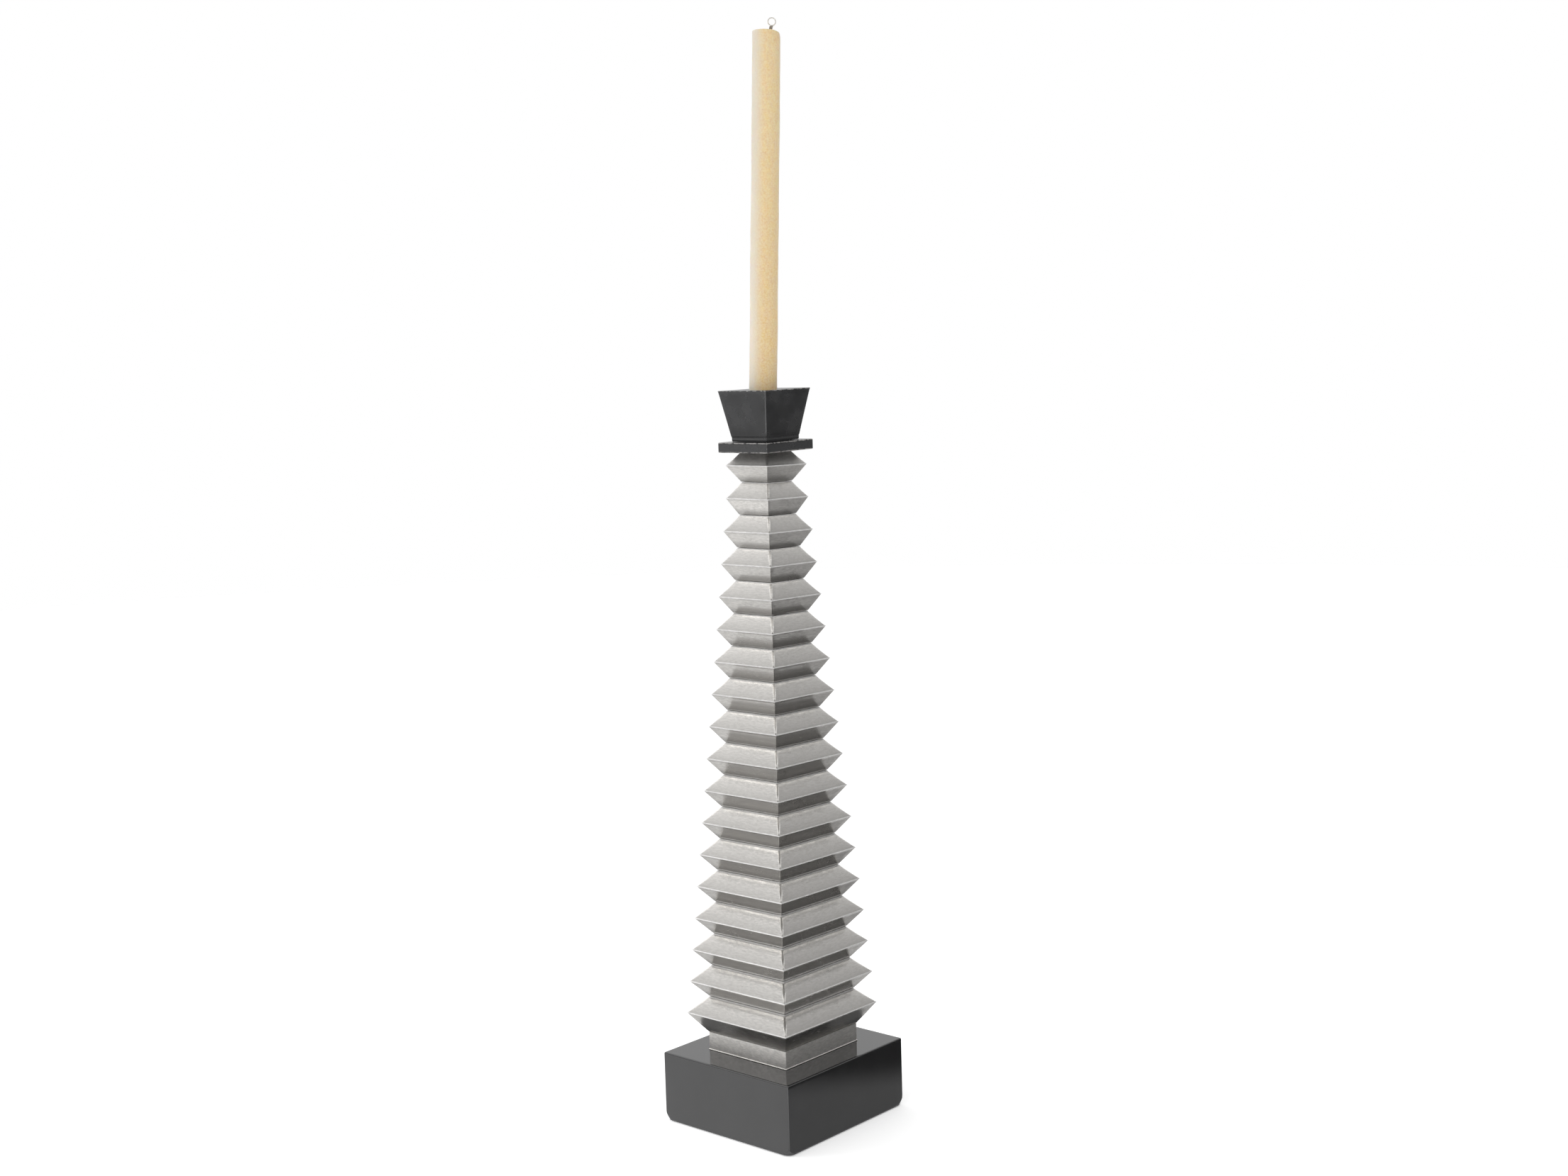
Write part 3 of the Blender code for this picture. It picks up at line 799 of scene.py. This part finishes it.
def make_plate():
    """The drip plate under the cup."""
    look = settings("black")
    node = "drip_plate"
    spigot_z, bottom, top = levels(node)
    side, spigot = 2 * reach_at(node, top), 2 * reach_at(node, spigot_z)
    soft = look.plate_rounding
    corner = soft * 1.2
    bore = rod_bore()
    sections = [bore(spigot_z), Section(spigot, corner, spigot_z), Section(spigot, corner, bottom),
                Section(side - soft * 5, corner, bottom)]
    sections += foot_edge(side, bottom, soft, 3, corner, edge=1.0)
    sections += straight((side, bottom + soft * 2), (side, top - soft * 2), 4, corner)
    sections += top_edge(side, top, soft, 3, corner, edge=1.0)
    sections += [Section(side - soft * 5, corner, top), bore(top)]
    shape = loft_rings(sections)
    unsettle(shape, UNEVEN_LACQUER, 0.02, 51)
    settle(shape, bottom, top, look.head_tilt)
    material = finish("plate_lacquer", lacquer_finish, 0.56, 0.16, 0.26, 1.6)
    add_piece("drip_plate_shell", shape, material, "stand", "black_gloss", node)


def make_cup():
    """The flared square cup with its round bore."""
    look = settings("black")
    node = "candle_cup"
    low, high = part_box(node)
    liner_low, liner_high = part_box("socket_liner")
    foot_top = levels(node)[1]
    floor_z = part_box("upper_washer")[0].z - CLEARANCE
    foot_side, top_side = 2 * reach_at(node, low.z), 2 * high.x
    soft = look.plate_rounding
    corner = soft * 1.3
    bore = rod_bore()
    mouth = liner_high.x + CLEARANCE
    lower_bore, flare_start, rim_inset = 0.0105, 0.0006, 0.0004
    step_z = liner_low.z - CLEARANCE
    sections = [bore(low.z), Section(foot_side - soft, corner, low.z)]
    sections += straight((foot_side, low.z + soft), (foot_side, foot_top), 3, corner)
    sections += straight((foot_side + flare_start, foot_top + flare_start),
                         (top_side - 2 * rim_inset, high.z - soft * 1.6), 10, corner)
    sections += rounded_edge((top_side - rim_inset, high.z - soft), (top_side, high.z),
                             (top_side - 2 * soft, high.z), 3, corner, edge=1.0)
    sections += [Section(top_side - soft * 5, corner, high.z), Section(2 * mouth, mouth, high.z),
                 Section(2 * mouth, mouth, step_z), Section(2 * lower_bore, lower_bore, step_z),
                 Section(2 * lower_bore, lower_bore, floor_z), bore(floor_z)]
    shape = loft_rings(sections)
    unsettle(shape, UNEVEN_LACQUER, 0.02, 61)
    settle(shape, low.z, high.z, look.head_tilt, look.cup_lift, look.cup_spread)
    material = finish("cup_lacquer", lacquer_finish, 0.42, 0.22, 0.24, 1.5)
    add_piece("cup_shell", shape, material, "stand", "black_gloss", node)


def turned(profile, steps):
    """A solid turned about Z from a profile of (radius, z) that starts and ends on the axis."""
    shape = bmesh.new()
    line = [shape.verts.new((radius, 0, z)) for radius, z in profile]
    edges = [shape.edges.new(pair) for pair in zip(line, line[1:])]
    bmesh.ops.spin(shape, geom=line + edges, axis=(0, 0, 1), cent=(0, 0, 0), angle=math.tau, steps=steps,
                   use_merge=True)
    return weld(shape)


def make_liner():
    """The steel sleeve that the candle stands in, with a rolled rim."""
    low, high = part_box("socket_liner")
    outer, wall, lip = high.x, 0.001, 0.0003
    bore = outer - wall
    profile = [(0, low.z), (outer - lip, low.z), (outer, low.z + lip), (outer, high.z - lip)]
    profile += [(outer - wall / 2 + (wall / 2) * math.cos(a), high.z - lip + lip * math.sin(a))
                for a in (math.pi * k / 8 for k in range(1, 8))]
    profile += [(bore, high.z - lip), (bore, low.z + wall + lip), (bore - lip, low.z + wall), (0, low.z + wall)]
    add_piece("liner_sleeve", turned(profile, 96), finish("liner_steel", zinc_finish), "stand", "steel",
              "socket_liner")


def make_felt():
    """The felt pad: a soft-edged slab with its surface matted unevenly."""
    low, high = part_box("felt_pad")
    side, corner, soft = 2 * high.x, 0.0376, 0.0006
    shares = (0.02, 0.2, 0.4, 0.6, 0.8, 0.93)
    lower = [Section(side * s, corner * s, low.z) for s in shares]
    rim = foot_edge(side, low.z, soft, 2, corner) + top_edge(side, high.z, soft, 2, corner)
    upper = [Section(side * s, corner * s, high.z) for s in reversed(shares)]
    shape = loft_rings(lower + rim + upper)
    for vert in shape.verts:
        matted = noise.noise(vert.co / 0.004) * 0.00012
        vert.co.z = max(low.z, vert.co.z + matted)
    add_piece("felt_sole", shape, finish("wool_felt", felt_finish), "stand", "felt", "felt_pad")


def candle_frame():
    """The candle's own frame: its origin at the middle of its foot, Z along it, X towards its lean."""
    axis = Vector(frame["joints"][0]["axis"]).normalized()
    points = [vert.co.copy() for vert in NODES["candle"].data.vertices]
    lowest = min(point.dot(axis) for point in points)
    foot = [point for point in points if point.dot(axis) < lowest + 0.0002]
    middle = sum(foot, Vector()) / len(foot)
    rim = [point for point in foot if (point - middle).length > 0.008]
    origin = sum(rim, Vector()) / len(rim)
    length = max(point.dot(axis) for point in points) - lowest
    radius = sum((point - origin).length for point in rim) / len(rim)
    turn = Matrix.Rotation(math.atan2(axis.y, axis.x), 4, "Z") @ Matrix.Rotation(math.acos(axis.z), 4, "Y")
    return Matrix.Translation(origin) @ turn, radius, length


def make_candle():
    """The dipped candle: lumpy sides, a soft shoulder that has slumped on one side and a shallow crown."""
    look = settings("taper")
    place, radius, length = candle_frame()
    shoulder, crown, rings = 0.0009, 0.0006, 84
    slump_height, slump_drop, slump_in = 0.009, 0.0013, 0.0010
    profile = [(0, 0), (radius - 0.0006, 0), (radius - 0.0001, 0.0006)]
    top = length - shoulder - crown
    profile += [(radius, lerp(0.0012, top, k / rings)) for k in range(rings + 1)]
    profile += [(radius - shoulder * (1 - math.cos(a)), top + shoulder * math.sin(a))
                for a in (math.radians(90 * k / 7) for k in range(1, 8))]
    profile += [((radius - shoulder) * (1 - s), length - crown + crown * s * (2 - s))
                for s in (0.25, 0.5, 0.75, 1.0)]
    shape = turned(profile, look.ring_steps)
    for vert in shape.verts:
        out = math.hypot(vert.co.x, vert.co.y)
        if out < MERGE:
            continue
        lump = noise.noise(vert.co / 0.010) * 0.6 + noise.noise(vert.co / 0.034 + Vector((3, 1, 7)))
        sag = noise.noise(Vector((vert.co.x / 0.02, vert.co.y / 0.02, vert.co.z / 0.05))) * 0.8
        swell = 1 + look.lumps * (lump + sag) / radius
        vert.co.x *= swell
        vert.co.y *= swell
        above = max(0.0, vert.co.z - (length - slump_height)) / slump_height
        lean_side = max(0.0, vert.co.x / radius)
        vert.co.z -= above ** 2 * lean_side ** 2 * slump_drop
        vert.co.x -= above ** 3 * lean_side ** 3 * slump_in
    shape.transform(place)
    add_piece("candle_taper", shape, finish("beeswax", wax_finish), "candle", "beeswax", "candle")


def strand(shape, points, radius):
    """Add a round strand along the points."""
    curve = bpy.data.curves.new("strand", "CURVE")
    curve.dimensions = "3D"
    curve.bevel_depth = radius
    curve.bevel_resolution = STRAND_STEPS
    curve.use_fill_caps = True
    line = curve.splines.new("POLY")
    line.points.add(len(points) - 1)
    for spot, point in zip(line.points, points):
        spot.co = (*point, 1)
    carrier = bpy.data.objects.new("strand", curve)
    bpy.context.scene.collection.objects.link(carrier)
    mesh = carrier.evaluated_get(bpy.context.evaluated_depsgraph_get()).to_mesh()
    shape.from_mesh(mesh)
    bpy.data.objects.remove(carrier)
    bpy.data.curves.remove(curve)


def wick_line(stem_x, loop_x, crown_z, loop_z, loop_radius):
    """Points up the stem, through the knot and once round the loop, in the candle's XZ plane."""
    stem_foot, stem_top, loop_steps = crown_z - 0.012, crown_z + 0.0008, 60
    neck_z = loop_z - loop_radius
    points = [Vector((stem_x, 0, lerp(stem_foot, stem_top, k / 20))) for k in range(21)]
    points += [Vector((lerp(stem_x, loop_x, k / 8), 0, lerp(stem_top, neck_z, k / 8))) for k in range(1, 8)]
    for k in range(loop_steps + 1):
        angle = -math.pi / 2 + math.tau * k / loop_steps
        x, z = loop_x + loop_radius * math.cos(angle), loop_z + loop_radius * math.sin(angle)
        points.append(Vector((x, 0, z)))
    return points


def make_wick():
    """Three strands laid round each other up the stem and round the loop, and the knot that holds it."""
    look = settings("taper")
    place, _radius, length = candle_frame()
    stem_x, loop_x, loop_z, loop_radius = 0.0027, 0.0041, length + 0.0066, 0.00295
    line = wick_line(stem_x, loop_x, length, loop_z, loop_radius)
    side_way = Vector((0, 1, 0))
    shape = bmesh.new()
    for lay in range(3):
        travelled, laid = 0.0, []
        for index, point in enumerate(line):
            ahead = line[min(index + 1, len(line) - 1)] - line[max(index - 1, 0)]
            out_way = ahead.normalized().cross(side_way)
            if index:
                travelled += (point - line[index - 1]).length
            angle = math.tau * (travelled / look.braid_pitch + lay / 3)
            around = out_way * math.cos(angle) + side_way * math.sin(angle)
            laid.append(point + around * look.strand_radius * 0.9)
        strand(shape, laid, look.strand_radius)
    weld(shape)
    shape.transform(place)
    add_piece("wick_braid", shape, finish("wick_cotton", cotton_finish), "candle", "cotton", "wick")

    knot = bmesh.new()
    coils, turn_steps, coil_radius, cord_radius = 3, 16, 0.00085, 0.00052
    wraps = []
    for k in range(coils * turn_steps + 1):
        angle = math.tau * k / turn_steps
        rise = k / (coils * turn_steps)
        wraps.append(Vector((lerp(stem_x, loop_x, 0.35 + 0.4 * rise) + coil_radius * math.cos(angle),
                             coil_radius * math.sin(angle), length + lerp(0.0007, 0.0030, rise))))
    strand(knot, wraps, cord_radius)
    weld(knot)
    knot.transform(place)
    add_piece("wick_knot", knot, finish("soaked_cotton", cotton_finish, 0.85), "candle", "cotton")


def paint_hidden_parts():
    """Finishes of the pieces whose CAD shape stays."""
    for node in STEEL_NAMES:
        repaint(node, finish("zinc_steel", zinc_finish))
    repaint("ballast", finish("cast_iron", iron_finish))
    repaint("base_cover", finish("black_sheet", sheet_finish))


# ---------------------------------------------------------------- studio


def place_camera(look):
    """The camera at its bearing and height; returns its level right-hand direction."""
    x = look.camera_distance * math.sin(look.camera_bearing)
    y = -look.camera_distance * math.cos(look.camera_bearing)
    heading = math.atan2(-y, -x) + look.camera_yaw
    level, down = math.cos(look.camera_pitch), math.sin(look.camera_pitch)
    ahead = Vector((math.cos(heading) * level, math.sin(heading) * level, -down))
    right = ahead.cross(Vector((0, 0, 1))).normalized()
    up = right.cross(ahead)
    roll_cos, roll_sin = math.cos(look.camera_roll), math.sin(look.camera_roll)
    turn = Matrix((right * roll_cos + up * roll_sin, up * roll_cos - right * roll_sin, -ahead)).transposed()
    lens = bpy.data.cameras.new("studio_camera")
    lens.sensor_width = SENSOR_WIDTH
    lens.lens = look.focal_length
    lens.shift_x = look.lens_shift
    camera = bpy.data.objects.new("studio_camera", lens)
    camera.matrix_world = Matrix.Translation((x, y, look.camera_height)) @ turn.to_4x4()
    bpy.context.scene.collection.objects.link(camera)
    bpy.context.scene.camera = camera
    return right


def light_room(look, right):
    """A soft room, brighter above and on the left, seen as white by the camera."""
    world = bpy.data.worlds.new("studio_room")
    bpy.context.scene.world = world
    world.use_nodes = True
    world.node_tree.nodes.clear()
    net = Net(world.node_tree)
    way = net.put("ShaderNodeTexCoord").outputs["Generated"]
    height = net.add(net.times(net.split(way)["Z"], 0.5), 0.5)
    leftness = net.vector_math("DOT_PRODUCT", way, -right, "Value")
    farness = net.vector_math("DOT_PRODUCT", way, Vector((0, 0, 1)).cross(right), "Value")
    sides = []
    for stops in (ROOM_RIGHT, ROOM_LEFT):
        ramp = net.put("ShaderNodeValToRGB", {"Fac": height})
        for index, (position, light) in enumerate(stops):
            stop = ramp.color_ramp.elements[index] if index < 2 else ramp.color_ramp.elements.new(position)
            stop.position = position
            stop.color = (light, light, light, 1)
        sides.append(ramp.outputs["Color"])
    mixed = net.mix(net.step(leftness, -0.55, 0.45), *sides)
    mixed = net.mix(net.step(farness, 0.55, 0.92), mixed, (BACKDROP,) * 3)
    room = net.put("ShaderNodeBackground", {"Color": mixed, "Strength": look.room_light})
    white = net.put("ShaderNodeBackground", {"Color": (1, 1, 1, 1), "Strength": 1.0})
    seen = net.put("ShaderNodeLightPath").outputs["Is Camera Ray"]
    both = net.put("ShaderNodeMixShader", {0: seen, 1: room.outputs[0], 2: white.outputs[0]})
    net.put("ShaderNodeOutputWorld", {"Surface": both.outputs[0]})


def lay_floor(look):
    """The pale floor, lifted towards white where the camera sees it."""
    shape = bmesh.new()
    bmesh.ops.create_circle(shape, cap_ends=True, segments=64, radius=look.floor_size / 2)
    net = MaterialNet("pale_paper")
    paper = tuple(look.floor_colour)
    net.drive(net.mix(net.grain(net.place, 3.0, 2.0), paper, tuple(c * 0.985 for c in paper)))
    net.fix({"Roughness": 0.9, "Specular IOR Level": 0.1, "Emission Color": (1, 1, 1, 1)})
    seen = net.put("ShaderNodeLightPath").outputs["Is Camera Ray"]
    net.link(net.times(seen, look.floor_lift), net.shader, "Emission Strength")
    floor = link_mesh("studio_floor", shape, net.material)


def lay_card(name, near_edge, away, size, glow, rim=None, soft=0.06, ease_near=True):
    """A card on the floor that only reflections see; near_edge is the middle of its nearer side.

    With a rim, its glow eases from that value at the sides to glow further in, and also at the near edge
    if ease_near is set.
    """
    width, depth = size
    shape = bmesh.new()
    bmesh.ops.create_grid(shape, x_segments=1, y_segments=1, size=0.5)
    bmesh.ops.scale(shape, vec=(depth, width, 1.0), verts=shape.verts)
    bmesh.ops.translate(shape, vec=(depth / 2, 0, 0), verts=shape.verts)
    net = MaterialNet(name)
    net.drive(net.mix(net.grain(net.place, 40.0), (CARD_TONE,) * 3, (CARD_TONE * 1.3,) * 3))
    net.fix({"Emission Color": (1, 1, 1, 1), "Emission Strength": glow})
    if rim is not None:
        spot = net.split(net.place)
        inside = net.less(width / 2, net.math("ABSOLUTE", spot["Y"]))
        if ease_near:
            inside = net.math("MINIMUM", spot["X"], inside)
        net.link(net.step(inside, 0.0, soft, rim, glow), net.shader, "Emission Strength")
    card = link_mesh(name, shape, net.material)
    card.location = near_edge
    card.rotation_euler = (0, 0, math.atan2(away[1], away[0]))
    card.visible_camera = card.visible_diffuse = card.visible_shadow = False


def lay_cards():
    """Cards that set what the polished faces mirror: black beside the base, paler near it, dim far out."""
    right, left, back, front = (1, 0), (-1, 0), (0, 1), (0, -1)
    lay_card("black_card", (0.114, 0.0590, 0.0012), (0.796, 0.606), (0.48, 0.8), 0.0, 0.31, 0.075)
    lay_card("near_right_card", (0.0705, 0.43, 0.0006), right, (1.0, 0.30), 0.31)
    lay_card("near_left_card", (-0.43, -0.0705, 0.0006), front, (1.0, 0.45), 0.70)
    lay_card("band_left_card", (-0.43, -0.2300, 0.0010), front, (1.0, 0.29), 1.05, 0.70)
    lay_card("rear_right_card", (-0.43, 0.0705, 0.0008), back, (1.0, 0.60), 0.52, 0.31, 0.10, ease_near=False)
    lay_card("rear_left_card", (-0.0705, 0.43, 0.0010), left, (1.0, 0.60), 0.46, 0.70, 0.10, ease_near=False)
    out_right, out_left = Vector((0.70, 0.71, 0)), Vector((-0.69, -0.72, 0))
    for name, way, start, size, glow, rim in (("middle_right_card", out_right, 0.58, (1.3, 0.57), 0.17, 0.60),
                                              ("far_right_card", out_right, 1.15, (1.7, 3.2), 0.040, 0.60),
                                              ("middle_left_card", out_left, 0.70, (1.3, 0.55), 0.48, 0.80),
                                              ("far_left_card", out_left, 1.25, (1.7, 3.1), 0.22, 0.80)):
        lay_card(name, way * start + Vector((0, 0, 0.0004)), way, size, glow, rim, 0.35, ease_near=False)


def hang_softbox(name, power, way, distance, aim_height, width):
    """A large soft lamp aimed at the column; it lights the wax and the floor and leaves no mirror image."""
    lamp = bpy.data.lights.new(name, "AREA")
    lamp.shape = "RECTANGLE"
    lamp.size, lamp.size_y = width, width * 0.8
    lamp.energy = power
    box = bpy.data.objects.new(name, lamp)
    aim = Vector((0, 0, aim_height))
    box.location = aim + way.normalized() * distance
    box.rotation_euler = (aim - box.location).to_track_quat("-Z", "Y").to_euler()
    box.visible_glossy = False
    bpy.context.scene.collection.objects.link(box)


def make_stage():
    """The camera, the room, the floor with its cards, and two softboxes."""
    look = settings("studio")
    right = place_camera(look)
    light_room(look, right)
    lay_floor(look)
    lay_cards()
    front = Vector((right.y, -right.x, 0))
    hang_softbox("key_softbox", look.key_power, -right * 0.95 + Vector((0, 0, 0.3)), 1.15, 0.15, 0.8)
    hang_softbox("fill_softbox", look.fill_power, front + right * 0.5, 0.95, 0.75, 0.6)
    bpy.context.scene.view_settings.view_transform = "Standard"


# ---------------------------------------------------------------- operators and panel


class CANDLESTICK_OT_stage(Operator):
    """Set up the camera, the floor and the light"""

    bl_idname = "candlestick.stage"
    bl_label = "Stage"

    def execute(self, context):
        make_stage()
        return {"FINISHED"}


class CANDLESTICK_OT_base(Operator):
    """Build the black base block"""

    bl_idname = "candlestick.base"
    bl_label = "Base Block"

    def execute(self, context):
        make_base()
        return {"FINISHED"}


class CANDLESTICK_OT_underside(Operator):
    """Build the felt and finish the cover, the screws, the ballast, the rod and its nuts"""

    bl_idname = "candlestick.underside"
    bl_label = "Underside and Inside"

    def execute(self, context):
        make_felt()
        paint_hidden_parts()
        return {"FINISHED"}


class CANDLESTICK_OT_band(Operator):
    """Build the silver band above the base"""

    bl_idname = "candlestick.band"
    bl_label = "Foot Band"

    def execute(self, context):
        make_band()
        return {"FINISHED"}


class CANDLESTICK_OT_tiers(Operator):
    """Build the silver tiers of the column"""

    bl_idname = "candlestick.tiers"
    bl_label = "Tiers"

    def execute(self, context):
        make_tiers()
        return {"FINISHED"}


class CANDLESTICK_OT_plate(Operator):
    """Build the drip plate"""

    bl_idname = "candlestick.plate"
    bl_label = "Drip Plate"

    def execute(self, context):
        make_plate()
        return {"FINISHED"}


class CANDLESTICK_OT_cup(Operator):
    """Build the candle cup and its liner"""

    bl_idname = "candlestick.cup"
    bl_label = "Cup and Liner"

    def execute(self, context):
        make_cup()
        make_liner()
        return {"FINISHED"}


class CANDLESTICK_OT_candle(Operator):
    """Build the candle"""

    bl_idname = "candlestick.candle"
    bl_label = "Candle"

    def execute(self, context):
        make_candle()
        return {"FINISHED"}


class CANDLESTICK_OT_wick(Operator):
    """Build the wick and its knot"""

    bl_idname = "candlestick.wick"
    bl_label = "Wick"

    def execute(self, context):
        make_wick()
        return {"FINISHED"}


OPERATORS = (CANDLESTICK_OT_stage, CANDLESTICK_OT_base, CANDLESTICK_OT_underside, CANDLESTICK_OT_band,
             CANDLESTICK_OT_tiers, CANDLESTICK_OT_plate, CANDLESTICK_OT_cup, CANDLESTICK_OT_candle,
             CANDLESTICK_OT_wick)


class CANDLESTICK_PT_panel(Panel):
    """The pieces of the candlestick, in building order"""

    bl_label = "Candlestick"
    bl_idname = "CANDLESTICK_PT_panel"
    bl_space_type = "VIEW_3D"
    bl_region_type = "UI"
    bl_category = "Candlestick"

    def draw(self, context):
        for operator in OPERATORS:
            self.layout.operator(operator.bl_idname)
        for name in SETTINGS:
            box = self.layout.box()
            group = settings(name)
            for key in group.__annotations__:
                box.prop(group, key)


CLASSES = (*SETTINGS.values(), *OPERATORS, CANDLESTICK_PT_panel)


def register():
    """Register the classes and hang the settings on the scene."""
    for item in CLASSES:
        bpy.utils.register_class(item)
    for name, group in SETTINGS.items():
        setattr(bpy.types.Scene, f"candlestick_{name}", PointerProperty(type=group))


def unregister():
    """Undo register."""
    for name in SETTINGS:
        delattr(bpy.types.Scene, f"candlestick_{name}")
    for item in reversed(CLASSES):
        bpy.utils.unregister_class(item)


def main():
    """Build everything in order."""
    register()
    for operator in OPERATORS:
        step = operator.bl_idname.split(".")[1]
        getattr(bpy.ops.candlestick, step)()


if __name__ == "__main__":
    main()
